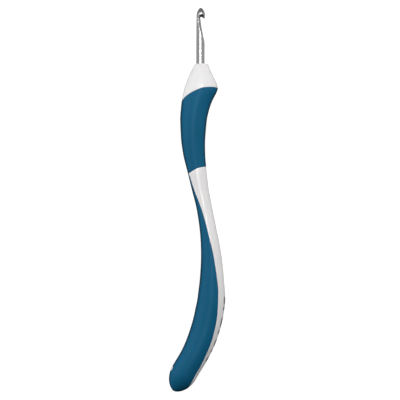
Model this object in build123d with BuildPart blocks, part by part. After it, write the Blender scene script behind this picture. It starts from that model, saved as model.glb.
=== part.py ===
from build123d import *
import os
from math import cos, radians, sin

os.makedirs("parts", exist_ok=True)

# A crochet hook lying on its side, in millimetres. +Y runs along the shank to the hook tip,
# +X is the side the throat opens to, and Z = 0 is the plane of symmetry. The origin is on the
# shank's axis, where the shank leaves the nose of the handle.

# ---- the metal needle ----
shank_radius = 1.75  # a 3.5 mm hook
shank_length = 8.6  # plain round stretch in front of the nose
neck_radius = 1.6
head_radius = 1.74
head_offset = 0.23  # the head sits this far towards the lip
head_base = 20.6  # where the head is widest
tip_reach = 23.48
neck_stations = [(13.0, 0.0), (17.5, 0.08)]  # (along, offset) of the neck between shank and head
throat_width = 6.0  # wide enough to cut right through

tang_length = 11.5
ring_count = 5
ring_pitch = 2.1
ring_depth = 0.35
ring_width = 0.9
paddle_length = 9.5
paddle_thickness = 1.6
paddle_width = 4.4
paddle_corner = 1.2
key_hole_radius = 0.8

# ---- the handle ----
skin = 1.3  # thickness of the soft grips

# (along, inner side, outer side, half depth) of the oval sections of the nose cone
nose_sections = [
    (0.0, -2.5, 3.3, 2.9),
    (-4.4, -4.66, 5.12, 4.7),
    (-8.8, -6.35, 7.1, 6.0),
]

# the same for the level part of the handle, which begins where the cone ends
level_sections = [
    (-8.8, -6.35, 7.1, 6.0),
    (-10.3, -6.88, 7.42, 6.25),
    (-12.0, -7.27, 6.78, 6.45),
    (-14.4, -7.7, 5.47, 6.6),
    (-18.0, -8.14, 4.02, 6.68),
    (-23.8, -8.49, 2.7, 6.7),
    (-31.0, -8.16, 2.06, 6.2),
    (-37.6, -7.26, 2.04, 5.5),
    (-45.1, -5.43, 2.7, 4.9),
    (-52.6, -3.6, 3.62, 4.65),
    (-60.2, -1.7, 5.05, 4.65),
    (-67.7, -0.51, 6.55, 4.95),
    (-75.2, 0.1, 8.07, 5.5),
    (-82.7, 0.16, 9.22, 6.1),
    (-90.2, -0.33, 9.96, 6.6),
]

# (across, along, tilt, half width, half depth) of the sections that follow the curl of the tail
tilted_sections = [
    (4.66, -97.0, 4.0, 5.77, 6.7),
    (3.48, -105.0, 11.0, 6.08, 6.6),
    (0.93, -114.0, 20.5, 6.04, 6.55),
    (-2.77, -122.2, 28.0, 5.73, 6.42),
    (-6.62, -128.7, 30.0, 5.74, 5.88),
]
tail_steps = [0.22, 0.42, 0.6, 0.75, 0.87, 0.95, 0.99]  # parts of the round end's reach
tail_reach = 9.15  # from the last tilted section to the tail's end
tail_fullness = 0.61  # 0.5 would be a plain ellipse, more is more pointed

# the seams between hard plastic and soft grip, seen from the side
front_seam_top = [(-9.6, -17.4), (-7.7, -15.15), (-5.2, -13.05), (-2.1, -11.45), (1.75, -10.2),
                  (5.5, -9.9), (9.6, -10.2)]
front_seam_bottom = [(-7.2, -47.6), (-4.85, -45.7), (-3.1, -44.55), (-1.0, -43.6), (2.1, -42.9),
                     (5.4, -42.6)]
rear_seam = [(-5.5, -44.2), (-4.76, -46.4), (-3.0, -51.8), (0.65, -61.4), (3.75, -72.7),
             (5.35, -79.4), (6.6, -86.9), (7.45, -95.0), (7.2, -103.0), (5.4, -113.2),
             (1.6, -122.9), (-2.4, -130.4), (-4.5, -134.3), (-6.2, -137.6)]
zone_reach = 16.0  # the seams cut through the handle's whole depth and past its sides

# the oval window of hard plastic in the inner side of the tail
window_across = -11.75
window_along = -126.9
window_tilt = 30.4
window_half_length = 1.2
window_half_width = 2.4
window_depth = 3.0


def level_list(sections, inset):
    """Centre, tilt and half axes of each level section, drawn in by the inset."""
    return [((left + right) / 2, along, 0.0, (right - left) / 2 - inset, depth - inset)
            for along, left, right, depth in sections]


def tail_list(inset):
    """The same for the tilted sections and for the round end that closes the tail."""
    sections = [(x, y, tilt, width - inset, depth - inset)
                for x, y, tilt, width, depth in tilted_sections]
    x, y, tilt, half_width, half_depth = sections[-1]
    for step in tail_steps:
        reach = step * (tail_reach - inset)
        scale = (1 - step**2) ** tail_fullness
        sections.append((x - reach * sin(radians(tilt)), y - reach * cos(radians(tilt)), tilt,
                         half_width * scale, half_depth * scale))
    return sections


def section_plane(x, y, tilt):
    """A plane square to the spine, which leans by the tilt."""
    lean = radians(tilt)
    return Plane(origin=(x, y, 0), x_dir=(cos(lean), -sin(lean), 0),
                 z_dir=(sin(lean), cos(lean), 0))


def ovals(sections):
    """A sketch of each section, in its own plane."""
    sketches = []
    for x, y, tilt, half_width, half_depth in sections:
        with BuildSketch(section_plane(x, y, tilt)) as oval:
            Ellipse(half_width, half_depth)
        sketches.append(oval.sketch)
    return sketches


def handle_body(inset):
    """The handle's body, drawn in by the inset: the nose cone, then all behind it."""
    with BuildPart() as body:
        loft(ovals(level_list(nose_sections, inset)))
        loft(ovals(level_list(level_sections, inset) + tail_list(inset)))
    return body.part


envelope = handle_body(0)
inner_core = handle_body(skin)

# ---- hook_needle: head, throat, neck, shank and the tang inside the handle ----
with BuildPart() as hook_needle:
    # shank and the round stretch of the tang
    with BuildSketch(Plane.XZ.offset(tang_length)):
        Circle(shank_radius)
    extrude(amount=-(tang_length + shank_length))
    # neck, tapering and moving over towards the lip
    neck_sections = [(shank_length, 0, shank_radius)]
    neck_sections += [(along, offset, neck_radius) for along, offset in neck_stations]
    neck_sections += [(head_base, head_offset, head_radius)]
    for along, offset, radius in neck_sections:
        with BuildSketch(Plane(origin=(offset, along, 0), x_dir=(1, 0, 0), z_dir=(0, 1, 0))):
            Circle(radius)
    loft()
    # rounded head
    with BuildSketch(Plane.XY):
        with BuildLine():
            head_rise = tip_reach - head_base
            Spline((head_offset + head_radius, head_base),
                   (head_offset + 0.76 * head_radius, head_base + 0.5 * head_rise),
                   (head_offset, tip_reach), tangents=[(0, 1), (-1, 0)])
            Line((head_offset, tip_reach), (head_offset, head_base))
            Line((head_offset, head_base), (head_offset + head_radius, head_base))
        make_face()
    revolve(axis=Axis((head_offset, 0, 0), (0, 1, 0)))
    # throat: a long ramp down to the neck, then an undercut behind the lip
    with BuildSketch(Plane.XY):
        with BuildLine():
            ramp = Spline((shank_radius, shank_length + 0.1), (0.92, 12.95), (0.33, 16.2),
                          (0.12, 18.4))
            root = Spline(ramp @ 1, (-0.06, 19.1), (0.1, 19.55), (0.5, 19.67),
                          (1.15, 19.25), (1.8, 18.88), tangents=[ramp % 1, (0.8, -0.4)])
            Polyline(root @ 1, (3.2, 18.0), (3.2, shank_length + 0.1), ramp @ 0)
        make_face()
    extrude(amount=throat_width / 2, both=True, mode=Mode.SUBTRACT)
    # ring grooves that the plastic grips, the first one right inside the nose
    with BuildSketch(Plane.XY):
        for ring in range(ring_count):
            with Locations((shank_radius, -ring_width / 2 - ring * ring_pitch)):
                Rectangle(2 * ring_depth, ring_width)
    revolve(axis=Axis.Y, mode=Mode.SUBTRACT)
    # flattened paddle, so that the needle can't turn
    with BuildSketch(Plane.YZ.offset(-paddle_thickness / 2)):
        with Locations((-tang_length - paddle_length / 2 + 1.0, 0)):
            RectangleRounded(paddle_length + 2.0, paddle_width, paddle_corner)
    extrude(amount=paddle_thickness)
    with BuildSketch(Plane.YZ.offset(-paddle_thickness)):
        with Locations((-tang_length - paddle_length / 2, 0)):
            Circle(key_hole_radius)
    extrude(amount=2 * paddle_thickness, mode=Mode.SUBTRACT)
hook_needle.part.label = "hook_needle"

# ---- the two soft zones, bounded by their seams ----
with BuildPart() as front_zone:
    with BuildSketch(Plane.XY):
        with BuildLine():
            top = Spline(*front_seam_top)
            bottom = Spline(*front_seam_bottom)
            Line(top @ 0, bottom @ 0)
            Line(top @ 1, bottom @ 1)
        make_face()
    extrude(amount=zone_reach, both=True)

with BuildPart() as rear_zone:
    with BuildSketch(Plane.XY):
        with BuildLine():
            seam = Spline(*rear_seam)
            Polyline(seam @ 1, (-zone_reach, -137.6), (-zone_reach, -44.2), seam @ 0)
        make_face()
    extrude(amount=zone_reach, both=True)
    add(front_zone.part, mode=Mode.SUBTRACT)
    with BuildSketch(Plane(origin=(window_across, window_along, 0),
                           x_dir=(sin(radians(window_tilt)), cos(radians(window_tilt)), 0),
                           z_dir=(-cos(radians(window_tilt)), sin(radians(window_tilt)), 0))):
        Ellipse(window_half_length, window_half_width)
    extrude(amount=window_depth, both=True, mode=Mode.SUBTRACT)

# ---- front_grip: soft sleeve all round the handle behind the nose ----
with BuildPart() as front_grip:
    add(envelope)
    add(front_zone.part, mode=Mode.INTERSECT)
    add(inner_core, mode=Mode.SUBTRACT)
front_grip.part.label = "front_grip"

# ---- rear_grip: soft pad along the inner side, from its thin tongue to the round tail ----
with BuildPart() as rear_grip:
    add(envelope)
    add(rear_zone.part, mode=Mode.INTERSECT)
    add(inner_core, mode=Mode.SUBTRACT)
rear_grip.part.label = "rear_grip"

# ---- handle_core: nose, neck, spine and the hidden core under the grips ----
with BuildPart() as handle_core:
    add(envelope)
    add(front_grip.part, mode=Mode.SUBTRACT)
    add(rear_grip.part, mode=Mode.SUBTRACT)
    add(hook_needle.part, mode=Mode.SUBTRACT)
handle_core.part.label = "handle_core"

export_step(hook_needle.part, "parts/hook_needle.step")
export_step(handle_core.part, "parts/handle_core.step")
export_step(front_grip.part, "parts/front_grip.step")
export_step(rear_grip.part, "parts/rear_grip.step")
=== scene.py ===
from math import cos, hypot, pi, radians, sin

import bmesh
import bpy
import numpy as np
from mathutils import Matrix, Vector


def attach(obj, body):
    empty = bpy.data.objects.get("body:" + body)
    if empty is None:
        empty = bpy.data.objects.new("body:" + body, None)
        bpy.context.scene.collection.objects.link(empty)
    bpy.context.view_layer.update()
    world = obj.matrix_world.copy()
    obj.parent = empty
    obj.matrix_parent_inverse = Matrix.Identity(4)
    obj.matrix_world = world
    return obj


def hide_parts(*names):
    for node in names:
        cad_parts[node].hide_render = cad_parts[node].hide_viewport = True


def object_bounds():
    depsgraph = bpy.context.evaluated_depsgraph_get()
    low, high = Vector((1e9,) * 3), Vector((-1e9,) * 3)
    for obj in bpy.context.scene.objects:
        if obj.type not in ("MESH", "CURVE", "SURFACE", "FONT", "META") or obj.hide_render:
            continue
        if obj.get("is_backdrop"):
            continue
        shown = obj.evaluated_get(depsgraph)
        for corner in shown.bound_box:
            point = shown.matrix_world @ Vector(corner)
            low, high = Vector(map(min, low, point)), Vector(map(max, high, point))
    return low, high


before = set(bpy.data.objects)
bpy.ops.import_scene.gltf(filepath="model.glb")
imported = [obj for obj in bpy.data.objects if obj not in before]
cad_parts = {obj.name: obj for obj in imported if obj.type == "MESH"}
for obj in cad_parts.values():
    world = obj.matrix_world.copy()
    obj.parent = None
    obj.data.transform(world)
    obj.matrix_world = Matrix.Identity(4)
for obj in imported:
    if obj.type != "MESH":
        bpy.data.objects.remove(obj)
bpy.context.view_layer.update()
scene = bpy.context.scene
mm = 0.001
weld = 2e-6  # points closer than this, in metres, are made one
rounds = 40  # how often a search for a point is repeated
print("frame loaded:", sorted(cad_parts))


def risingSlopes(x, y):
    # slopes for a curve that passes through its points without overshooting
    gap = np.diff(x)
    rise = np.diff(y) / gap
    slope = np.zeros(len(x))
    slope[0], slope[-1] = rise[0], rise[-1]
    for i in range(1, len(x) - 1):
        if rise[i - 1] * rise[i] > 0:
            before, after = 2 * gap[i] + gap[i - 1], gap[i] + 2 * gap[i - 1]
            slope[i] = (before + after) / (before / rise[i - 1] + after / rise[i])
    return slope


def curveThrough(points):
    # a smooth function of the first number in each pair, through all the pairs
    pairs = np.array(sorted(points), float)
    x, y = pairs[:, 0], pairs[:, 1]
    slope = risingSlopes(x, y)

    def valueAt(t):
        t = np.asarray(t, float)
        i = np.clip(np.searchsorted(x, t) - 1, 0, len(x) - 2)
        gap = x[i + 1] - x[i]
        u = np.clip((t - x[i]) / gap, 0, 1)
        beyond = np.minimum(t - x[0], 0) * slope[0] + np.maximum(t - x[-1], 0) * slope[-1]
        inside = ((2 * u**3 - 3 * u**2 + 1) * y[i] + (u**3 - 2 * u**2 + u) * gap * slope[i]
                  + (3 * u**2 - 2 * u**3) * y[i + 1] + (u**3 - u**2) * gap * slope[i + 1])
        return inside + beyond

    return valueAt


def meshPiece(name, points, faces, material, smooth=True):
    mesh = bpy.data.meshes.new(name)
    mesh.from_pydata([tuple(p) for p in points], [], faces)
    piece = bpy.data.objects.new(name, mesh)
    scene.collection.objects.link(piece)
    tidy = bmesh.new()
    tidy.from_mesh(mesh)
    bmesh.ops.remove_doubles(tidy, verts=tidy.verts, dist=weld)
    bmesh.ops.dissolve_degenerate(tidy, edges=tidy.edges, dist=1e-7)
    bmesh.ops.recalc_face_normals(tidy, faces=tidy.faces)
    tidy.to_mesh(mesh)
    tidy.free()
    mesh.materials.append(material)
    for face in mesh.polygons:
        face.use_smooth = smooth
    return piece


def loftRings(rings, closeStart=True, closeEnd=True):
    # rings of equal length, each a closed loop, joined one to the next
    size = len(rings[0])
    points = [p for ring in rings for p in ring]
    faces = []
    for r in range(len(rings) - 1):
        for c in range(size):
            d = (c + 1) % size
            faces.append((r * size + c, r * size + d, (r + 1) * size + d, (r + 1) * size + c))
    if closeStart:
        faces.append(tuple(range(size)))
    if closeEnd:
        faces.append(tuple(reversed(range((len(rings) - 1) * size, len(rings) * size))))
    return points, faces


def sharpBy(piece, degrees):
    piece.data.set_sharp_from_angle(angle=radians(degrees))


# The handle's shape is in millimetres, and it is made into metres by mm at the last moment.
handleShape = {
    # (down the handle, inner side, outer side, half depth) where the sections are level
    "level": [(0.0, -2.5, 3.3, 2.9), (4.4, -4.66, 5.12, 4.7), (8.6, -6.3, 7.09, 6.0),
              (10.1, -6.84, 7.42, 6.25), (12.0, -7.27, 6.78, 6.45), (14.4, -7.7, 5.47, 6.6),
              (18.0, -8.14, 4.02, 6.68), (23.8, -8.49, 2.7, 6.7), (31.0, -8.16, 2.06, 6.2),
              (37.6, -7.26, 2.04, 5.5), (45.1, -5.43, 2.7, 4.9), (52.6, -3.6, 3.62, 4.65),
              (60.2, -1.7, 5.05, 4.65), (67.7, -0.51, 6.55, 4.95), (75.2, 0.1, 8.07, 5.5),
              (82.7, 0.16, 9.22, 6.1), (90.2, -0.33, 9.96, 6.6)],
    # (down the handle, across, tilt, half width, half depth) where the tail curls
    "tilted": [(97.0, 4.66, 4.0, 5.77, 6.7), (105.0, 3.48, 11.0, 6.08, 6.6),
               (114.0, 0.93, 20.5, 6.04, 6.55), (122.2, -2.77, 28.0, 5.73, 6.42),
               (127.2, -5.75, 30.0, 5.68, 6.02), (128.7, -6.62, 30.0, 5.71, 5.86)],
    "tailReach": 7.9,  # how much further down the rounded end goes
    "tailFullness": 0.62,  # 0.5 would round it like an ellipse, more is more pointed
    "easing": 0.6,  # how far the stations are blended into each other
    "step": 0.05,  # spacing of the fine tables that the stations are blended in
}

seams = {
    # (across, along) of the two seams that cross the handle
    "frontTop": [(-9.6, -17.4), (-7.7, -15.15), (-5.2, -13.05), (-2.1, -11.45), (1.75, -10.2),
                 (5.5, -9.9), (9.6, -10.2)],
    "frontBottom": [(-7.2, -47.6), (-4.85, -45.7), (-3.1, -44.55), (-1.0, -43.6), (2.1, -42.9),
                    (5.4, -42.6)],
    "frontTopGuess": 12.0,  # how far down each of them is, roughly
    "frontBottomGuess": 44.0,
    # (along, across) of the seam that runs down the handle
    "rear": [(-44.2, -5.5), (-46.4, -4.76), (-51.8, -3.0), (-61.4, 0.65), (-72.7, 3.75), (-79.4, 5.35),
             (-86.9, 6.6), (-95.0, 7.45), (-103.0, 7.2), (-113.2, 5.4), (-122.9, 1.6), (-130.4, -2.4),
             (-134.3, -4.5), (-137.6, -6.2)],
    "skin": 1.3,  # thickness of the soft grips
    "softRoll": 0.24,  # rounding of a grip's edge
    "hardRoll": 0.14,  # rounding of the hard plastic's edge
    "softInset": 0.03,  # the grips stand a little prouder than the hard plastic
    "hardInset": 0.11,
}


def makeHandle(shape):
    # fine tables of the centre, tilt and half axes, all against the distance down the handle
    rows = [(down, (inner + outer) / 2, 0.0, (outer - inner) / 2, depth)
            for down, inner, outer, depth in shape["level"]]
    rows = np.array(rows + shape["tilted"])
    lastStation = rows[-1, 0]
    step = shape["step"]
    fine = np.arange(0, lastStation + shape["tailReach"] + step, step)
    side = 80  # entries of the fine table that are blended in on each side
    reach = np.arange(-side, side + 1) * step
    weight = np.exp(-0.5 * (reach / shape["easing"]) ** 2)
    weight /= weight.sum()
    table = []
    for column in range(1, 5):
        value = curveThrough(list(zip(rows[:, 0], rows[:, column])))(fine)
        before = 2 * value[0] - value[side:0:-1]
        after = 2 * value[-1] - value[-2:-side - 2:-1]
        table.append(np.convolve(np.concatenate([before, value, after]), weight, mode="valid"))
    return {"fine": fine, "table": table, "lastStation": lastStation, "tailReach": shape["tailReach"],
            "tailFullness": shape["tailFullness"]}


handle = makeHandle(handleShape)


def sectionAt(down, drop=0.0):
    # across, down, tilt, half width and half depth of the section, drawn in by the drop
    last, reach = handle["lastStation"], handle["tailReach"]
    fullness = 1.0
    if down > last:
        part = min((down - last) / reach, 1.0)
        fullness = max(0.0, 1 - part**2) ** handle["tailFullness"]
        down = last + part * (reach - drop)
    across, tilt, width, depth = [float(np.interp(down, handle["fine"], t)) for t in handle["table"]]
    return across, down, radians(tilt), (width - drop) * fullness, (depth - drop) * fullness


def skinPoint(down, angle, drop=0.0):
    # a point on the handle: angle 0 is the outer side, a half turn is the inner side
    across, down, tilt, width, depth = sectionAt(down, drop)
    out = width * cos(angle)
    return (mm * (across + out * cos(tilt)), mm * (-down - out * sin(tilt)), mm * depth * sin(angle))


frontTop = curveThrough(seams["frontTop"])
frontBottom = curveThrough(seams["frontBottom"])
rearAcross = curveThrough(seams["rear"])


def seamDown(seam, angle):
    # how far down the handle a cross seam lies at this angle
    down = seams["frontTopGuess"] if seam is frontTop else seams["frontBottomGuess"]
    for _ in range(rounds):
        across, _, _, width, _ = sectionAt(down)
        down = 0.5 * down - 0.5 * float(seam(across + width * cos(angle)))
    return down


def rearAngle(down):
    # the angle either side of the outer line at which the rear seam crosses this section
    across, _, tilt, width, _ = sectionAt(down)
    out = 0.0
    for _ in range(rounds):
        out = 0.5 * out + 0.5 * (float(rearAcross(-down - out * sin(tilt))) - across) / cos(tilt)
    if width < 1e-6 or out >= width:
        return 0.0
    return float(np.arccos(max(-1.0, out / width)))


def edgeRoll(radius, steps=5):
    # (distance in from the edge, drop) round a quarter turn
    turns = [pi / 2 * k / steps for k in range(steps)]
    return [(radius * (1 - cos(turn)), radius * (1 - sin(turn))) for turn in turns]


def stripAcross(down, start, end, inset, roll, count):
    # points across the handle from one angle to another, with both edges rounded over
    _, _, _, width, depth = sectionAt(down, inset)

    def pace(angle):
        return max(hypot(width * sin(angle), depth * cos(angle)), 0.05)

    span = (end - start) * 0.5 * (pace(start) + pace(0.5 * (start + end)))
    radius = max(min(roll, 0.4 * span), 0.0)
    first = [(start + d / pace(start), inset + fall) for d, fall in edgeRoll(radius)]
    last = [(end - d / pace(end), inset + fall) for d, fall in edgeRoll(radius)]
    low, high = start + radius / pace(start), end - radius / pace(end)
    middle = [(low + (high - low) * k / (count - 1), inset) for k in range(count)]
    return first + middle + last[::-1]


def coveredAngles(half, count):
    # evenly from the rear seam on one side, round the inner side, to the seam on the other
    return [half + (2 * pi - 2 * half) * c / (count - 1) for c in range(count)]


def tailRows(start, count, endCount=26):
    # rows down the handle, which crowd together round its end
    last, reach = handle["lastStation"], handle["tailReach"]
    straight = [start + (last - start) * k / count for k in range(count)]
    return straight + [last + reach * sin(pi / 2 * k / endCount) for k in range(endCount + 1)]


def newGroup(name, inputs, outputs):
    group = bpy.data.node_groups.new(name, "ShaderNodeTree")
    for label, kind, value in inputs:
        socket = group.interface.new_socket(name=label, in_out="INPUT", socket_type=kind)
        socket.default_value = value
    for label, kind in outputs:
        group.interface.new_socket(name=label, in_out="OUTPUT", socket_type=kind)
    return group, group.nodes.new("NodeGroupInput"), group.nodes.new("NodeGroupOutput")


def addNode(tree, kind, settings=None, **inputs):
    # a node with its own settings, and each named input given a value or linked to a socket
    node = tree.nodes.new(kind)
    for key, value in (settings or {}).items():
        setattr(node, key, value)
    for name, value in inputs.items():
        socket = node.inputs[name.replace("_", " ")]
        if isinstance(value, bpy.types.NodeSocket):
            tree.links.new(value, socket)
        else:
            socket.default_value = value
    return node


def mathNode(tree, operation, first, second=None):
    node = tree.nodes.new("ShaderNodeMath")
    node.operation = operation
    for socket, value in zip(node.inputs, (first, second)):
        if isinstance(value, (int, float)):
            socket.default_value = value
        elif value is not None:
            tree.links.new(value, socket)
    return node.outputs[0]


def makeMouldGrain():
    # the fine, even roughness that a textured mould leaves, and slow drifts in it
    group, given, result = newGroup(
        "mouldGrain",
        [("Vector", "NodeSocketVector", (0, 0, 0)), ("Grain Scale", "NodeSocketFloat", 4000.0),
         ("Drift Scale", "NodeSocketFloat", 90.0)],
        [("Height", "NodeSocketFloat"), ("Drift", "NodeSocketFloat")])
    vector, grainScale = given.outputs["Vector"], given.outputs["Grain Scale"]
    fine = addNode(group, "ShaderNodeTexNoise", Vector=vector, Scale=grainScale,
                   Detail=3.0, Roughness=0.6)
    pits = addNode(group, "ShaderNodeTexVoronoi", {"feature": "SMOOTH_F1"}, Vector=vector,
                   Scale=grainScale)
    drift = addNode(group, "ShaderNodeTexNoise", Vector=vector, Scale=given.outputs["Drift Scale"],
                    Detail=2.0, Roughness=0.5)
    height = addNode(group, "ShaderNodeMath", {"operation": "MULTIPLY_ADD"})
    height.inputs[1].default_value = 0.6  # share of the fine noise on top of the pits
    group.links.new(fine.outputs["Fac"], height.inputs[0])
    group.links.new(pits.outputs["Distance"], height.inputs[2])
    group.links.new(height.outputs["Value"], result.inputs["Height"])
    group.links.new(drift.outputs["Fac"], result.inputs["Drift"])
    return group


def makeHandlingMarks():
    # hairline scratches that run mostly one way, as a mask
    group, given, result = newGroup(
        "handlingMarks",
        [("Vector", "NodeSocketVector", (0, 0, 0)), ("Stretch", "NodeSocketFloat", 30.0),
         ("Scale", "NodeSocketFloat", 900.0), ("Amount", "NodeSocketFloat", 0.4)],
        [("Mask", "NodeSocketFloat"), ("Height", "NodeSocketFloat")])
    ratio = mathNode(group, "DIVIDE", 1.0, given.outputs["Stretch"])
    factors = addNode(group, "ShaderNodeCombineXYZ", X=1.0, Y=ratio, Z=1.0)
    squeeze = addNode(group, "ShaderNodeVectorMath", {"operation": "MULTIPLY"})
    group.links.new(given.outputs["Vector"], squeeze.inputs[0])
    group.links.new(factors.outputs["Vector"], squeeze.inputs[1])
    noise = addNode(group, "ShaderNodeTexNoise", Vector=squeeze.outputs["Vector"],
                    Scale=given.outputs["Scale"], Detail=4.0, Roughness=0.7)
    pick = addNode(group, "ShaderNodeMapRange", Value=noise.outputs["Fac"], From_Min=0.48, From_Max=0.72)
    scaled = mathNode(group, "MULTIPLY", pick.outputs["Result"], given.outputs["Amount"])
    group.links.new(scaled, result.inputs["Mask"])
    group.links.new(noise.outputs["Fac"], result.inputs["Height"])
    return group


mouldGrain = makeMouldGrain()
handlingMarks = makeHandlingMarks()


def startMaterial(name):
    material = bpy.data.materials.new(name)
    material.use_nodes = True
    tree = material.node_tree
    tree.nodes.clear()
    output = tree.nodes.new("ShaderNodeOutputMaterial")
    shader = tree.nodes.new("ShaderNodeBsdfPrincipled")
    place = tree.nodes.new("ShaderNodeTexCoord")
    tree.links.new(shader.outputs["BSDF"], output.inputs["Surface"])
    return material, tree, shader, place.outputs["Object"]


def placeGroup(tree, group, vector, **values):
    return addNode(tree, "ShaderNodeGroup", {"node_tree": group}, Vector=vector, **values)


def mapRange(tree, value, low, high):
    return addNode(tree, "ShaderNodeMapRange", Value=value, To_Min=low, To_Max=high).outputs["Result"]


def mixColours(tree, factor, first, second):
    # each colour is three numbers or a socket
    a, b = [(*colour, 1) if isinstance(colour, tuple) else colour for colour in (first, second)]
    mix = addNode(tree, "ShaderNodeMix", {"data_type": "RGBA"}, Factor=factor, A=a, B=b)
    return mix.outputs["Result"]


def bumpNormal(tree, shader, height, distance, strength):
    # the distance is in metres
    bump = addNode(tree, "ShaderNodeBump", Strength=strength, Distance=distance, Height=height)
    tree.links.new(bump.outputs["Normal"], shader.inputs["Normal"])


softGripLook = {"deep": (0.0058, 0.095, 0.188), "bright": (0.0066, 0.107, 0.213),
                "grain": {"Grain_Scale": 5200.0, "Drift_Scale": 70.0}, "bump": (0.000012, 0.6),
                "roughness": (0.42, 0.52), "gloss": (0.13, 0.20), "glossRoughness": 0.36,
                # the rim colour is painted shade: a near-black teal blended in towards the silhouettes,
                # where the surface turns away from the camera
                "rim": (0.0003, 0.006, 0.010), "edgeShadeFrom": 0.45, "edgeShadeTo": 0.85}


def makeSoftGrip(look):
    material, tree, shader, place = startMaterial("softTealGrip")
    grain = placeGroup(tree, mouldGrain, place, **look["grain"])
    drift = grain.outputs["Drift"]
    colour = mixColours(tree, drift, look["deep"], look["bright"])
    # painted shade: the base colour darkens to the rim colour as the surface turns edge-on to the camera
    facing = addNode(tree, "ShaderNodeLayerWeight", Blend=0.5)
    edgeShadeAmount = addNode(tree, "ShaderNodeMapRange", Value=facing.outputs["Facing"], From_Min=look["edgeShadeFrom"],
                    From_Max=look["edgeShadeTo"])
    edgeShadedColour = mixColours(tree, edgeShadeAmount.outputs["Result"], colour, look["rim"])
    tree.links.new(edgeShadedColour, shader.inputs["Base Color"])
    tree.links.new(mapRange(tree, drift, *look["roughness"]), shader.inputs["Roughness"])
    tree.links.new(mapRange(tree, drift, *look["gloss"]), shader.inputs["Coat Weight"])
    bumpNormal(tree, shader, grain.outputs["Height"], *look["bump"])
    shader.inputs["Coat Roughness"].default_value = look["glossRoughness"]
    shader.inputs["Specular IOR Level"].default_value = 0.0
    return material


hardPlasticLook = {"shade": (0.775, 0.762, 0.76), "light": (0.81, 0.80, 0.80),
                   "grain": {"Grain_Scale": 700.0, "Drift_Scale": 60.0}, "bump": (0.000006, 0.5),
                   "marks": {"Stretch": 14.0, "Scale": 1500.0, "Amount": 0.5},
                   "roughness": (0.08, 0.17), "coat": 0.4, "coatRoughness": 0.05}


def makeHardPlastic(look):
    material, tree, shader, place = startMaterial("glossWhitePlastic")
    grain = placeGroup(tree, mouldGrain, place, **look["grain"])
    marks = placeGroup(tree, handlingMarks, place, **look["marks"])
    white = mixColours(tree, grain.outputs["Drift"], look["shade"], look["light"])
    tree.links.new(white, shader.inputs["Base Color"])
    tree.links.new(mapRange(tree, marks.outputs["Mask"], *look["roughness"]), shader.inputs["Roughness"])
    bumpNormal(tree, shader, grain.outputs["Height"], *look["bump"])
    shader.inputs["Specular IOR Level"].default_value = 0.5
    shader.inputs["Coat Weight"].default_value = look["coat"]
    shader.inputs["Coat Roughness"].default_value = look["coatRoughness"]
    return material


needleLook = {"dull": (0.70, 0.70, 0.685), "bright": (0.80, 0.80, 0.79), "bump": (0.000004, 0.5),
              "marks": {"Stretch": 40.0, "Scale": 2600.0, "Amount": 1.0}, "roughness": (0.23, 0.34)}


def makeNeedleMetal(look):
    material, tree, shader, place = startMaterial("polishedNeedle")
    marks = placeGroup(tree, handlingMarks, place, **look["marks"])
    metal = mixColours(tree, marks.outputs["Mask"], look["bright"], look["dull"])
    tree.links.new(metal, shader.inputs["Base Color"])
    tree.links.new(mapRange(tree, marks.outputs["Mask"], *look["roughness"]), shader.inputs["Roughness"])
    bumpNormal(tree, shader, marks.outputs["Height"], *look["bump"])
    shader.inputs["Metallic"].default_value = 1.0
    return material


inkLook = {"faded": (0.045, 0.042, 0.04), "full": (0.018, 0.017, 0.016), "roughness": 0.45,
           "grain": {"Grain_Scale": 3000.0, "Drift_Scale": 400.0}}


def makeInk(look):
    material, tree, shader, place = startMaterial("darkInk")
    grain = placeGroup(tree, mouldGrain, place, **look["grain"])
    black = mixColours(tree, grain.outputs["Drift"], look["faded"], look["full"])
    tree.links.new(black, shader.inputs["Base Color"])
    shader.inputs["Roughness"].default_value = look["roughness"]
    return material


softTealGrip = makeSoftGrip(softGripLook)
printInk = makeInk(inkLook)
glossWhitePlastic = makeHardPlastic(hardPlasticLook)
polishedNeedle = makeNeedleMetal(needleLook)
print("materials made")


# the front grip is a sleeve all round the handle behind the nose
sleeve = {"around": 112, "rows": 84, "rowsInside": 21, "sharp": 50}  # edges over 50 degrees stay sharp


def makeSleeve(size):
    around = size["around"]
    angles = [2 * pi * c / around for c in range(around)]
    tops = [seamDown(frontTop, a) for a in angles]
    bottoms = [seamDown(frontBottom, a) for a in angles]
    roll, inset = seams["softRoll"], seams["softInset"]
    rings = []
    for d, fall in edgeRoll(roll):
        rings.append([skinPoint(t + d, a, inset + fall) for t, a in zip(tops, angles)])
    for k in range(size["rows"]):
        part = k / (size["rows"] - 1)
        rings.append([skinPoint(t + roll + part * (b - t - 2 * roll), a, inset)
                      for t, b, a in zip(tops, bottoms, angles)])
    for d, fall in edgeRoll(roll)[::-1]:
        rings.append([skinPoint(b - d, a, inset + fall) for b, a in zip(bottoms, angles)])
    for k in range(size["rowsInside"], -1, -1):  # back up the inside
        part = k / size["rowsInside"]
        rings.append([skinPoint(t + part * (b - t), a, seams["skin"])
                      for t, b, a in zip(tops, bottoms, angles)])
    rings.append(rings[0])
    points, faces = loftRings(rings, closeStart=False, closeEnd=False)
    return meshPiece("frontSleeve", points, faces, softTealGrip)


frontSleeve = makeSleeve(sleeve)
sharpBy(frontSleeve, sleeve["sharp"])
print("front sleeve:", len(frontSleeve.data.polygons), "faces")


# the rear grip runs down the inner side, from a thin tongue to the round tail
pad = {"across": 56, "rows": 230, "sharp": 50,
       "gap": 0.05}  # between the tongue and the sleeve


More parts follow.
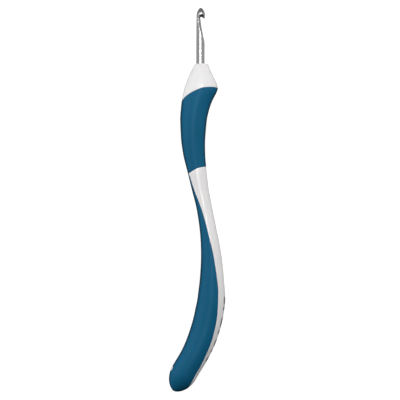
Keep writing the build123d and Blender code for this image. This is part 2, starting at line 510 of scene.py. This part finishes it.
def makePad(size):
    inset, roll, skin = seams["softInset"], seams["softRoll"], seams["skin"]
    rows = tailRows(seamDown(frontBottom, pi) + size["gap"], size["rows"])
    outer, inner, hasEdges = [], [], []
    for down in rows:
        half = rearAngle(down)
        rim = roll if half > 0 else 0.0
        strip = stripAcross(down, half, 2 * pi - half, inset, rim, size["across"])
        outer.append([skinPoint(down, a, drop) for a, drop in strip])
        inner.append([skinPoint(down, a, skin) for a in coveredAngles(half, len(strip))])
        hasEdges.append(half > 0)
    wide = len(outer[0])
    points = [p for row in outer for p in row] + [p for row in inner for p in row]
    under = len(rows) * wide
    faces = []
    for r in range(len(rows) - 1):
        for c in range(wide - 1):
            a, b = r * wide + c, (r + 1) * wide + c
            faces.append((a, a + 1, b + 1, b))
            faces.append((under + a, under + b, under + b + 1, under + a + 1))
        if hasEdges[r]:
            for c in (0, wide - 1):
                a, b = r * wide + c, (r + 1) * wide + c
                faces.append((a, b, under + b, under + a))
    for c in range(wide - 1):
        faces.append((c, c + 1, under + c + 1, under + c))
    return meshPiece("rearPad", points, faces, softTealGrip)


rearPad = makePad(pad)
sharpBy(rearPad, pad["sharp"])
print("rear pad:", len(rearPad.data.polygons), "faces")


# the hard core shows as nose cone, neck and spine, and is hollowed where the grips sit
core = {
    "exposed": 44, "covered": 30,  # points round the outer side and round the covered inner side
    "noseRows": 40, "hiddenRows": 30, "spineRows": 230,
    "mouthBore": 1.79, "boreDepth": 1.6, "mouthRound": 0.32, "lipDepth": 0.12, "lipFlat": 0.02,
    "lipChamfer": 0.1,
    "neckStart": 0.6,  # how far below the sleeve the neck's own rows begin
    "sharp": 50,
}


def makeCore(size):
    inset, roll, skin = seams["hardInset"], seams["hardRoll"], seams["skin"]
    neckTop = seamDown(frontBottom, pi)
    half = rearAngle(neckTop)
    angles = [a for a, _ in stripAcross(neckTop, -half, half, inset, roll, size["exposed"])]
    angles += coveredAngles(half, size["covered"])
    rings = []
    # the bore's wall, the flat mouth and its rounded rim
    bore, mouthRound = size["mouthBore"] * mm, size["mouthRound"]
    for depth, radius in ((size["boreDepth"], bore), (size["lipDepth"], bore),
                          (size["lipFlat"], bore + size["lipChamfer"] * mm)):
        rings.append([(radius * cos(a), -depth * mm, radius * sin(a)) for a in angles])
    for d, fall in edgeRoll(mouthRound)[::-1]:
        rings.append([skinPoint(fall, a, inset + d) for a in angles])
    # down the cone to the first seam
    tops = [seamDown(frontTop, a) for a in angles]
    for k in range(1, size["noseRows"] + 1):
        part = k / size["noseRows"]
        rings.append([skinPoint(mouthRound + part * (t - roll - mouthRound), a, inset)
                      for t, a in zip(tops, angles)])
    for d, fall in edgeRoll(roll)[::-1]:
        rings.append([skinPoint(t - d, a, inset + fall) for t, a in zip(tops, angles)])
    # under the sleeve
    bottoms = [seamDown(frontBottom, a) for a in angles]
    for k in range(size["hiddenRows"] + 1):
        part = k / size["hiddenRows"]
        rings.append([skinPoint(t + part * (b - t), a, skin) for t, b, a in zip(tops, bottoms, angles)])
    # out again, and down the neck and the spine
    for d, fall in edgeRoll(roll):
        rings.append([skinPoint(b + d, a, inset + fall) for b, a in zip(bottoms, angles)])
    for down in tailRows(neckTop + size["neckStart"], size["spineRows"]):
        half = rearAngle(down)
        drop, rim = (inset, roll) if half > 0 else (skin, 0.0)
        loop = stripAcross(down, -half, half, drop, rim, size["exposed"])
        loop += [(a, skin) for a in coveredAngles(half, size["covered"])]
        rings.append([skinPoint(down, a, d) for a, d in loop])
    points, faces = loftRings(rings, closeStart=True, closeEnd=False)
    return meshPiece("hardCore", points, faces, glossWhitePlastic)


hardCore = makeCore(core)
sharpBy(hardCore, core["sharp"])
print("hard core:", len(hardCore.data.polygons), "faces")


# the needle's shank, neck, head and lip, from the nose to the tip
needle = {
    "around": 44,  # points on half a loop
    # (along, centre, radius, squareness) of the bar before the throat is cut
    "bar": [(-1.0, 0.0, 1.75, 2.0), (8.6, 0.0, 1.75, 2.0), (13.0, -0.03, 1.67, 2.0),
            (17.5, -0.03, 1.65, 2.0), (19.2, 0.06, 1.72, 2.05), (20.6, 0.17, 1.79, 2.4),
            (23.5, 0.17, 1.79, 2.3)],
    "domeBase": 20.6,
    "tip": 23.48,
    # (part of the dome's height, part of its radius)
    "dome": [(0.0, 1.0), (0.19, 0.955), (0.33, 0.89), (0.47, 0.79), (0.61, 0.68), (0.76, 0.53),
             (0.88, 0.36), (0.95, 0.235), (0.985, 0.13), (1.0, 0.0)],
    # ribs across the hook: across and along at its back, across and along at the throat side, the
    # width of the bevel at the throat side, and how round that bevel is
    "ribs": [(-1.75, 0.0, 1.75, 0.0, 0.1, 1.4),
             (-1.75, 5.0, 1.75, 5.0, 0.1, 1.4), (-1.75, 8.6, 1.75, 8.7, 0.2, 1.4),
             (-1.7, 11.0, 1.32, 10.9, 0.75, 1.3), (-1.63, 13.2, 0.92, 12.95, 0.9, 1.25),
             (-1.57, 15.6, 0.44, 15.6, 1.05, 1.15), (-1.53, 17.5, 0.16, 17.6, 1.15, 1.12),
             (-1.5, 18.9, 0.05, 18.6, 1.15, 1.15), (-1.5, 20.3, -0.09, 19.1, 0.95, 1.35),
             (-1.35, 21.6, -0.06, 19.45, 1.0, 1.4), (-0.9, 22.7, 0.17, 19.64, 1.05, 1.3),
             (0.3, 23.47, 0.5, 19.65, 1.1, 1.18), (1.2, 22.85, 0.86, 19.48, 1.05, 1.12),
             (1.68, 21.9, 1.16, 19.24, 0.95, 1.1), (1.93, 20.95, 1.43, 19.03, 0.85, 1.1),
             (1.97, 20.2, 1.64, 18.92, 0.65, 1.12), (1.95, 19.6, 1.77, 18.88, 0.4, 1.15),
             (1.93, 19.15, 1.84, 18.88, 0.18, 1.2)],
    "ribSpacing": 0.13, "fewestSteps": 5, "mostSteps": 16,  # between one rib and the next
    "samples": 120, "wallSteps": 12,  # over the top of a rib, and down its throat side
    "bevelSlope": 1.15, "bevelDeepest": 0.86, "bevelWidest": 0.7,
    "furthest": 1.6,  # where the search for the bar's outline ends, as a part of the rib's length
    "sharp": 60,
}
domeProfile = curveThrough(needle["dome"])
barStations = np.array(needle["bar"]).T


def barHeight(across, along):
    # half height of the uncut bar over this point, or minus one outside its outline
    stations, *rows = barStations
    centre, radius, squareness = [float(np.interp(along, stations, row)) for row in rows]
    if along > needle["domeBase"]:
        part = (along - needle["domeBase"]) / (needle["tip"] - needle["domeBase"])
        radius *= float(domeProfile(min(part, 1.0))) if part <= 1 else 0.0
    offset = abs(across - centre)
    if offset >= radius:
        return -1.0
    return radius * (1 - (offset / radius) ** squareness) ** (1 / squareness)


def toOutline(inner, outer):
    # the point where the line from the throat side through the outer point leaves the bar's outline
    near, far = 0.0, needle["furthest"]
    for _ in range(rounds):
        part = (near + far) / 2
        inside = barHeight(*(inner + part * (outer - inner))) >= 0
        near, far = (part, far) if inside else (near, part)
    return inner + near * (outer - inner)


def makeNeedle(shape):
    ribs = np.array(shape["ribs"])
    order = np.arange(len(ribs))
    ways = [curveThrough(list(zip(order, ribs[:, k]))) for k in range(6)]
    steps = []
    for k in range(len(ribs) - 1):
        length = hypot(ribs[k + 1, 0] - ribs[k, 0], ribs[k + 1, 1] - ribs[k, 1])
        count = max(shape["fewestSteps"], min(shape["mostSteps"], int(length / shape["ribSpacing"])))
        steps += [k + j / count for j in range(count)]
    steps.append(len(ribs) - 1)
    samples, wallSteps = shape["samples"], shape["wallSteps"]
    rings = []
    for u in steps:
        outerX, outerY, innerX, innerY, edge, bluntness = [float(way(u)) for way in ways]
        inner = np.array([innerX, innerY])
        outer = toOutline(inner - 1e-6, np.array([outerX, outerY]))
        length = float(np.linalg.norm(outer - inner))
        edge = min(edge, shape["bevelWidest"] * length)
        fall = min(shape["bevelSlope"] * edge, shape["bevelDeepest"] * max(barHeight(*inner), 0.0))
        half = []
        for k in range(samples + 1):
            part = (1 - cos(pi * k / samples)) / 2
            spot = outer + part * (inner - outer)
            rise = max(barHeight(*spot), 0.0)
            left = (1 - part) * length
            if left < edge:
                inBevel = ((edge - left) / edge) ** bluntness
                rise -= fall * (1 - max(0.0, 1 - inBevel) ** (1 / bluntness))
            half.append((spot[0], spot[1], max(rise, 0.0)))
        half[0] = (outer[0], outer[1], 0.0)
        top = half[-1][2]
        half += [(inner[0], inner[1], top * (1 - k / wallSteps)) for k in range(1, wallSteps + 1)]
        half = np.array(half)
        run = np.concatenate([[0], np.cumsum(np.linalg.norm(np.diff(half, axis=0), axis=1))])
        want = np.linspace(0, run[-1], shape["around"])
        even = np.stack([np.interp(want, run, half[:, k]) for k in range(3)], axis=1) * mm
        back = even[-2:0:-1] * np.array([1, 1, -1])
        rings.append([tuple(p) for p in even] + [tuple(p) for p in back])
    points, faces = loftRings(rings)
    return meshPiece("hookNeedle", points, faces, polishedNeedle)


hookNeedle = makeNeedle(needle)
sharpBy(hookNeedle, needle["sharp"])
print("needle:", len(hookNeedle.data.polygons), "faces")


def namedValue(tree, kind, name):
    node = tree.nodes.new("GeometryNodeInputNamedAttribute")
    node.data_type = kind
    node.inputs["Name"].default_value = name
    return node.outputs["Attribute"]


def storeValue(tree, geometry, kind, name, value):
    node = tree.nodes.new("GeometryNodeStoreNamedAttribute")
    node.data_type = kind
    node.domain = "POINT"
    node.inputs["Name"].default_value = name
    tree.links.new(geometry, node.inputs["Geometry"])
    tree.links.new(value, node.inputs["Value"])
    return node.outputs["Geometry"]


def fillInputs(piece, tree, values):
    # puts the tree on the piece, sets its named inputs and keeps the plain mesh that comes out
    modifier = piece.modifiers.new(tree.name, "NODES")
    modifier.node_group = tree
    for item in tree.interface.items_tree:
        if item.in_out == "INPUT" and item.name in values:
            modifier[item.identifier] = values[item.name]
    bpy.context.view_layer.update()
    graph = bpy.context.evaluated_depsgraph_get()
    made = bpy.data.meshes.new_from_object(piece.evaluated_get(graph), depsgraph=graph)
    piece.modifiers.clear()
    piece.data = made


# the tang is a ringed rod and a flat paddle, which the hard plastic is moulded round
tang = {
    "Radius": 1.75, "Length": 11.5,
    "Ring Pitch": 2.1, "Ring Width": 0.9, "Ring Depth": 0.35, "Ring Slope": 0.12, "Ringed Length": 9.4,
    "Paddle Start": 9.5, "Paddle Length": 11.5, "Paddle Width": 4.4, "Paddle Thickness": 1.6,
    "Corner": 1.2, "Key Hole": 0.8, "Key Hole Place": 16.25,
}
tangPoints = {"along": 231, "around": 48, "corner": 8, "hole": 36}


def makeTangTree(shape, points):
    # a rod whose radius drops in every ring groove, and a rounded plate with a hole
    tree = bpy.data.node_groups.new("ringedTang", "GeometryNodeTree")
    face = tree.interface
    face.new_socket(name="Geometry", in_out="INPUT", socket_type="NodeSocketGeometry")
    for label in shape:
        face.new_socket(name=label, in_out="INPUT", socket_type="NodeSocketFloat")
    face.new_socket(name="Metal", in_out="INPUT", socket_type="NodeSocketMaterial")
    face.new_socket(name="Geometry", in_out="OUTPUT", socket_type="NodeSocketGeometry")
    given = tree.nodes.new("NodeGroupInput").outputs
    result = tree.nodes.new("NodeGroupOutput")

    def times(value, factor):
        return mathNode(tree, "MULTIPLY", value, factor)

    def joined(*parts):
        join = tree.nodes.new("GeometryNodeJoinGeometry")
        for part in parts:
            tree.links.new(part, join.inputs["Geometry"])
        return join.outputs["Geometry"]

    # the rod
    end = addNode(tree, "ShaderNodeCombineXYZ", Y=times(given["Length"], -1.0))
    line = addNode(tree, "GeometryNodeCurvePrimitiveLine", End=end.outputs["Vector"])
    fine = addNode(tree, "GeometryNodeResampleCurve", Curve=line.outputs["Curve"],
                   Count=points["along"])
    position = tree.nodes.new("GeometryNodeInputPosition")
    place = addNode(tree, "ShaderNodeSeparateXYZ", Vector=position.outputs["Position"])
    down = times(place.outputs["Y"], -1.0)
    along = mathNode(tree, "MODULO", down, given["Ring Pitch"])
    rise = mathNode(tree, "DIVIDE", along, given["Ring Slope"])
    left = mathNode(tree, "SUBTRACT", given["Ring Width"], along)
    back = mathNode(tree, "DIVIDE", left, given["Ring Slope"])
    within = mathNode(tree, "LESS_THAN", down, given["Ringed Length"])
    both = mathNode(tree, "MINIMUM", mathNode(tree, "MINIMUM", rise, back), within)
    groove = mathNode(tree, "MULTIPLY", mathNode(tree, "MAXIMUM", both, 0.0), given["Ring Depth"])
    circle = addNode(tree, "GeometryNodeCurvePrimitiveCircle", Resolution=points["around"], Radius=1.0)
    rod = addNode(tree, "GeometryNodeCurveToMesh", Curve=fine.outputs["Curve"],
                  Profile_Curve=circle.outputs["Curve"], Fill_Caps=True,
                  Scale=mathNode(tree, "SUBTRACT", given["Radius"], groove))

    # the paddle, drawn flat and then stood on edge
    plate = addNode(tree, "GeometryNodeCurvePrimitiveQuadrilateral", Width=given["Paddle Width"],
                    Height=given["Paddle Length"])
    corners = addNode(tree, "GeometryNodeFilletCurve", {"mode": "POLY"}, Curve=plate.outputs["Curve"],
                      Count=points["corner"], Radius=given["Corner"])
    hole = addNode(tree, "GeometryNodeCurvePrimitiveCircle", Resolution=points["hole"],
                   Radius=given["Key Hole"])
    middle = mathNode(tree, "ADD", given["Paddle Start"], times(given["Paddle Length"], 0.5))
    shift = addNode(tree, "ShaderNodeCombineXYZ",
                    Y=mathNode(tree, "SUBTRACT", middle, given["Key Hole Place"]))
    moved = addNode(tree, "GeometryNodeTransform", Geometry=hole.outputs["Curve"],
                    Translation=shift.outputs["Vector"])
    filled = addNode(tree, "GeometryNodeFillCurve",
                     Curve=joined(corners.outputs["Curve"], moved.outputs["Geometry"]))
    thick = addNode(tree, "GeometryNodeExtrudeMesh", Mesh=filled.outputs["Mesh"],
                    Offset_Scale=given["Paddle Thickness"], Individual=False)
    under = addNode(tree, "GeometryNodeFlipFaces", Mesh=filled.outputs["Mesh"])
    sealed = addNode(tree, "GeometryNodeMergeByDistance", Distance=weld,
                     Geometry=joined(thick.outputs["Mesh"], under.outputs["Mesh"]))
    stand = addNode(tree, "ShaderNodeCombineXYZ", X=times(given["Paddle Thickness"], -0.5),
                    Y=times(middle, -1.0))
    paddle = addNode(tree, "GeometryNodeTransform", Geometry=sealed.outputs["Geometry"],
                     Translation=stand.outputs["Vector"], Rotation=(0.0, pi / 2, 0.0))

    whole = joined(rod.outputs["Mesh"], paddle.outputs["Geometry"])
    real = addNode(tree, "GeometryNodeRealizeInstances", Geometry=whole)
    paint = addNode(tree, "GeometryNodeSetMaterial", Geometry=real.outputs["Geometry"],
                    Material=given["Metal"])
    tree.links.new(paint.outputs["Geometry"], result.inputs["Geometry"])
    return tree


def makeTang(shape):
    piece = bpy.data.objects.new("needleTang", bpy.data.meshes.new("needleTang"))
    scene.collection.objects.link(piece)
    sizes = {label: mm * value for label, value in shape.items()}
    fillInputs(piece, makeTangTree(shape, tangPoints), {**sizes, "Metal": polishedNeedle})
    for polygon in piece.data.polygons:
        polygon.use_smooth = True
    return piece


needleTang = makeTang(tang)
sharpBy(needleTang, 30)
print("tang:", len(needleTang.data.polygons), "faces")


# the oval of hard plastic that is let into the inner side of the tail
oval = {"down": 129.7, "halfLength": 1.12, "halfWidth": 2.3, "proud": 0.02, "round": 0.18, "deep": 0.5,
        "around": 72, "rings": 12, "turnSteps": 5, "sharp": 40}


def makeOval(shape):
    # (part of the oval's size, how far under the skin), from the middle over the rounded edge
    profile = [(k / shape["rings"], -shape["proud"]) for k in range(1, shape["rings"])]
    turn, turnSteps = shape["round"], shape["turnSteps"]
    for k in range(turnSteps + 1):
        angle = pi / 2 * k / turnSteps
        part = 1 - turn / shape["halfWidth"] * (1 - sin(angle))
        profile.append((part, turn * (1 - cos(angle)) - shape["proud"]))
    profile.append((1.0, shape["deep"]))
    rings = []
    for part, drop in profile:
        ring = []
        for c in range(shape["around"]):
            turned = 2 * pi * c / shape["around"]
            down = shape["down"] + part * shape["halfLength"] * cos(turned)
            depth = sectionAt(down)[4]
            angle = pi + np.arcsin(part * shape["halfWidth"] * sin(turned) / depth)
            ring.append(skinPoint(down, angle, drop))
        rings.append(ring)
    points, faces = loftRings(rings, closeStart=True, closeEnd=True)
    return meshPiece("whiteOval", points, faces, glossWhitePlastic)


whiteOval = makeOval(oval)
sharpBy(whiteOval, oval["sharp"])
print("white oval:", len(whiteOval.data.polygons), "faces")


# plain loops of ink printed down the spine
spinePrint = {
    # where each loop starts and ends, along the handle
    "loops": [(-96.9, -100.5), (-101.1, -102.8), (-105.3, -109.9), (-110.7, -112.8), (-114.7, -117.6),
              (-119.1, -120.3), (-122.0, -124.1)],
    "height": 5.6, "slit": 0.7, "stroke": 0.55,  # across the handle, its inner gap, and the line's width
    "proud": 0.012, "film": 0.03,
    "dropFrom": 30.0, "dropReach": 100.0,  # the ink's points fall on to the handle from outside it
    "leastRoom": 0.04,  # half the least width of a slit
    "around": 81, "rings": 13,  # points round a loop and across its line
    "cornering": 0.55,  # 1 makes each loop an ellipse, less makes its corners squarer
}


def makeLoopTree(shape):
    # a loop on every point, as long as the point says, laid on to the surface of the handle
    tree = bpy.data.node_groups.new("printedLoops", "GeometryNodeTree")
    face = tree.interface
    face.new_socket(name="Geometry", in_out="INPUT", socket_type="NodeSocketGeometry")
    face.new_socket(name="Surface", in_out="INPUT", socket_type="NodeSocketObject")
    for label in ("Loop Height", "Slit", "Stroke", "Proud", "Film"):
        face.new_socket(name=label, in_out="INPUT", socket_type="NodeSocketFloat")
    face.new_socket(name="Ink", in_out="INPUT", socket_type="NodeSocketMaterial")
    face.new_socket(name="Geometry", in_out="OUTPUT", socket_type="NodeSocketGeometry")
    given = tree.nodes.new("NodeGroupInput").outputs
    result = tree.nodes.new("NodeGroupOutput")
    link = tree.links.new

    # a flat grid on every point, whose own coordinates run round the loop and across its line
    place = tree.nodes.new("GeometryNodeInputPosition")
    marked = storeValue(tree, given["Geometry"], "FLOAT_VECTOR", "loopCentre", place.outputs["Position"])
    grid = addNode(tree, "GeometryNodeMeshGrid", Vertices_X=shape["around"], Vertices_Y=shape["rings"])
    flat = storeValue(tree, grid.outputs["Mesh"], "FLOAT_VECTOR", "loopPlace", grid.outputs["UV Map"])
    spread = addNode(tree, "GeometryNodeInstanceOnPoints", Points=marked, Instance=flat)
    real = addNode(tree, "GeometryNodeRealizeInstances", Geometry=spread.outputs["Instances"])

    # where each of its points lies on the loop
    onLoop = addNode(tree, "ShaderNodeSeparateXYZ", Vector=namedValue(tree, "FLOAT_VECTOR", "loopPlace"))
    turned = mathNode(tree, "MULTIPLY", onLoop.outputs["X"], 2 * pi)
    halfLength = mathNode(tree, "MULTIPLY", namedValue(tree, "FLOAT", "loopLength"), 0.5)
    halfHeight = mathNode(tree, "MULTIPLY", given["Loop Height"], 0.5)
    solid = mathNode(tree, "SUBTRACT", given["Loop Height"], given["Slit"])
    toSlit = mathNode(tree, "MULTIPLY", solid, 0.5)
    leastRoom = mm * shape["leastRoom"]

    def across(wave, half, stroke):
        # a rounded rectangle's outline, moved in by the stroke towards the inner ring
        value = mathNode(tree, wave, turned)
        size = mathNode(tree, "POWER", mathNode(tree, "ABSOLUTE", value), shape["cornering"])
        bent = mathNode(tree, "MULTIPLY", mathNode(tree, "SIGN", value), size)
        inward = mathNode(tree, "MULTIPLY", onLoop.outputs["Y"], stroke)
        room = mathNode(tree, "MAXIMUM", mathNode(tree, "SUBTRACT", half, inward), leastRoom)
        return mathNode(tree, "MULTIPLY", bent, room)

    # the points fall back on to the surface from outside it
    offset = addNode(tree, "ShaderNodeCombineXYZ", X=mm * shape["dropFrom"],
                     Y=across("COSINE", halfLength, given["Stroke"]),
                     Z=across("SINE", halfHeight, toSlit))
    start = addNode(tree, "ShaderNodeVectorMath", {"operation": "ADD"})
    link(namedValue(tree, "FLOAT_VECTOR", "loopCentre"), start.inputs[0])
    link(offset.outputs["Vector"], start.inputs[1])
    surface = addNode(tree, "GeometryNodeObjectInfo", Object=given["Surface"])
    ray = addNode(tree, "GeometryNodeRaycast", Target_Geometry=surface.outputs["Geometry"],
                  Source_Position=start.outputs["Vector"], Ray_Direction=(-1, 0, 0),
                  Ray_Length=mm * shape["dropReach"])
    lift = addNode(tree, "ShaderNodeVectorMath", {"operation": "SCALE"}, Scale=given["Proud"])
    link(ray.outputs["Hit Normal"], lift.inputs[0])
    landed = addNode(tree, "ShaderNodeVectorMath", {"operation": "ADD"})
    link(ray.outputs["Hit Position"], landed.inputs[0])
    link(lift.outputs["Vector"], landed.inputs[1])
    move = addNode(tree, "GeometryNodeSetPosition", Geometry=real.outputs["Geometry"],
                   Position=landed.outputs["Vector"])

    # the loop's two ends are joined, and the ink gets its thickness
    close = addNode(tree, "GeometryNodeMergeByDistance", Geometry=move.outputs["Geometry"],
                    Distance=weld)
    thicken = addNode(tree, "GeometryNodeExtrudeMesh", {"mode": "FACES"}, Individual=False,
                      Mesh=close.outputs["Geometry"], Offset_Scale=given["Film"])
    last = addNode(tree, "GeometryNodeRealizeInstances", Geometry=thicken.outputs["Mesh"])
    paint = addNode(tree, "GeometryNodeSetMaterial", Geometry=last.outputs["Geometry"],
                    Material=given["Ink"])
    link(paint.outputs["Geometry"], result.inputs["Geometry"])
    return tree


def makePrint(shape):
    mesh = bpy.data.meshes.new("loopPoints")
    mesh.from_pydata([(0, mm * (a + b) / 2, 0) for a, b in shape["loops"]], [], [])
    lengths = mesh.attributes.new("loopLength", "FLOAT", "POINT")
    for item, (a, b) in zip(lengths.data, shape["loops"]):
        item.value = mm * (a - b)
    piece = bpy.data.objects.new("spinePrint", mesh)
    scene.collection.objects.link(piece)
    values = {"Surface": hardCore, "Loop Height": mm * shape["height"], "Slit": mm * shape["slit"],
              "Stroke": mm * shape["stroke"], "Proud": mm * shape["proud"], "Film": mm * shape["film"],
              "Ink": printInk}
    fillInputs(piece, makeLoopTree(shape), values)
    return piece


spineLoops = makePrint(spinePrint)
print("spine print:", len(spineLoops.data.polygons), "faces")


# the tool is rigid, so every piece rides on its one body
stoodFor = [
    (hookNeedle, "hook_needle", "needle_metal"),
    (needleTang, "hook_needle", "needle_metal"),
    (hardCore, "handle_core", "hard_plastic"),
    (frontSleeve, "front_grip", "soft_grip"),
    (rearPad, "rear_grip", "soft_grip"),
]
for piece, node, slot in stoodFor:
    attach(piece, "root")
    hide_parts(node)
for piece in (whiteOval, spineLoops):
    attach(piece, "root")


studio = {
    "floorSize": 3.0, "floorColour": (0.3, 0.3, 0.3), "floorGlow": 0.86, "floorRoughness": 0.9,
    "floorShine": 0.1,
    "lens": 120.0, "sensor": 36.0, "cameraHeight": 0.557, "aim": (-0.00017, -0.05681),
    "lightsAim": (0, -0.04, 0),
}
lightList = [
    # name, place, width, length, power, shows in reflections, lights matt surfaces
    ("reflectorCard", (-0.03, 0.10, 0.60), 0.42, 0.62, 1.2, True, False),
    ("keyBox", (-0.36, 0.36, 0.38), 0.55, 0.55, 2.1, False, True),
    ("rightFill", (0.42, 0.16, 0.20), 0.5, 0.5, 2.5, False, True),
    ("leftFill", (-0.45, -0.02, 0.12), 0.5, 0.5, 1.75, False, True),
    ("stripLight", (0.01, 0.0, 0.60), 0.04, 0.5, 0.85, True, True),
]


def makeFloor(size):
    half = size["floorSize"] / 2
    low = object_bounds()[0].z
    mesh = bpy.data.meshes.new("paleFloor")
    corners = [(-half, -half, low), (half, -half, low), (half, half, low), (-half, half, low)]
    mesh.from_pydata(corners, [], [(0, 1, 2, 3)])
    floor = bpy.data.objects.new("paleFloor", mesh)
    scene.collection.objects.link(floor)
    material = bpy.data.materials.new("palePaper")
    material.use_nodes = True
    shader = material.node_tree.nodes["Principled BSDF"]
    shader.inputs["Base Color"].default_value = (*size["floorColour"], 1)
    shader.inputs["Roughness"].default_value = size["floorRoughness"]
    shader.inputs["Specular IOR Level"].default_value = size["floorShine"]
    shader.inputs["Emission Color"].default_value = (1, 1, 1, 1)
    shader.inputs["Emission Strength"].default_value = size["floorGlow"]
    mesh.materials.append(material)
    floor.visible_diffuse = False
    floor.visible_glossy = False
    floor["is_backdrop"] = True


def makeLight(name, location, width, length, power, inReflections, onMatt):
    data = bpy.data.lights.new(name, "AREA")
    data.shape = "RECTANGLE"
    data.size = width
    data.size_y = length
    data.energy = power
    lamp = bpy.data.objects.new(name, data)
    lamp.location = location
    aim = Vector(studio["lightsAim"]) - Vector(location)
    lamp.rotation_euler = aim.to_track_quat("-Z", "Y").to_euler()
    lamp.visible_glossy = inReflections
    lamp.visible_diffuse = onMatt
    scene.collection.objects.link(lamp)


makeFloor(studio)
for row in lightList:
    makeLight(*row)
print("floor and", len(lightList), "lights placed")


greyRoom = {
    "wall": (0.93, 0.93, 0.93), "strengthOnMatt": 0.25,
    # (from beyond the tail, 0, to beyond the tip, 1; grey)
    "greys": [(0.0, 0.015), (0.22, 0.03), (0.36, 0.2), (0.46, 0.36), (0.6, 0.36), (0.85, 0.2),
              (1.0, 0.15)],
}


def makeWorld(room):
    world = bpy.data.worlds.new("greyRoom")
    world.use_nodes = True
    tree = world.node_tree
    background = tree.nodes["Background"]
    place = tree.nodes.new("ShaderNodeTexCoord")
    split = addNode(tree, "ShaderNodeSeparateXYZ", Vector=place.outputs["Generated"])
    spread = addNode(tree, "ShaderNodeMapRange", Value=split.outputs["Y"], From_Min=-1.0)
    ramp = addNode(tree, "ShaderNodeValToRGB", Fac=spread.outputs["Result"])
    # only reflections and the camera see the room at full strength, and the wall that the camera
    # sees is as pale as the floor
    path = tree.nodes.new("ShaderNodeLightPath")
    wall = mixColours(tree, path.outputs["Is Camera Ray"], ramp.outputs["Color"], room["wall"])
    tree.links.new(wall, background.inputs["Color"])
    full = mathNode(tree, "ADD", path.outputs["Is Glossy Ray"], path.outputs["Is Camera Ray"])
    tree.links.new(mapRange(tree, full, room["strengthOnMatt"], 1.0), background.inputs["Strength"])
    stops = room["greys"]
    while len(ramp.color_ramp.elements) < len(stops):
        ramp.color_ramp.elements.new(0.5)
    for element, (position, grey) in zip(ramp.color_ramp.elements, stops):
        element.position = position
        element.color = (grey, grey, grey, 1)
    return world


scene.world = makeWorld(greyRoom)
scene.view_settings.view_transform = "Standard"

cameraData = bpy.data.cameras.new("camera")
cameraData.lens = studio["lens"]
cameraData.sensor_width = studio["sensor"]
camera = bpy.data.objects.new("camera", cameraData)
camera.location = (*studio["aim"], studio["cameraHeight"])
scene.collection.objects.link(camera)
scene.camera = camera
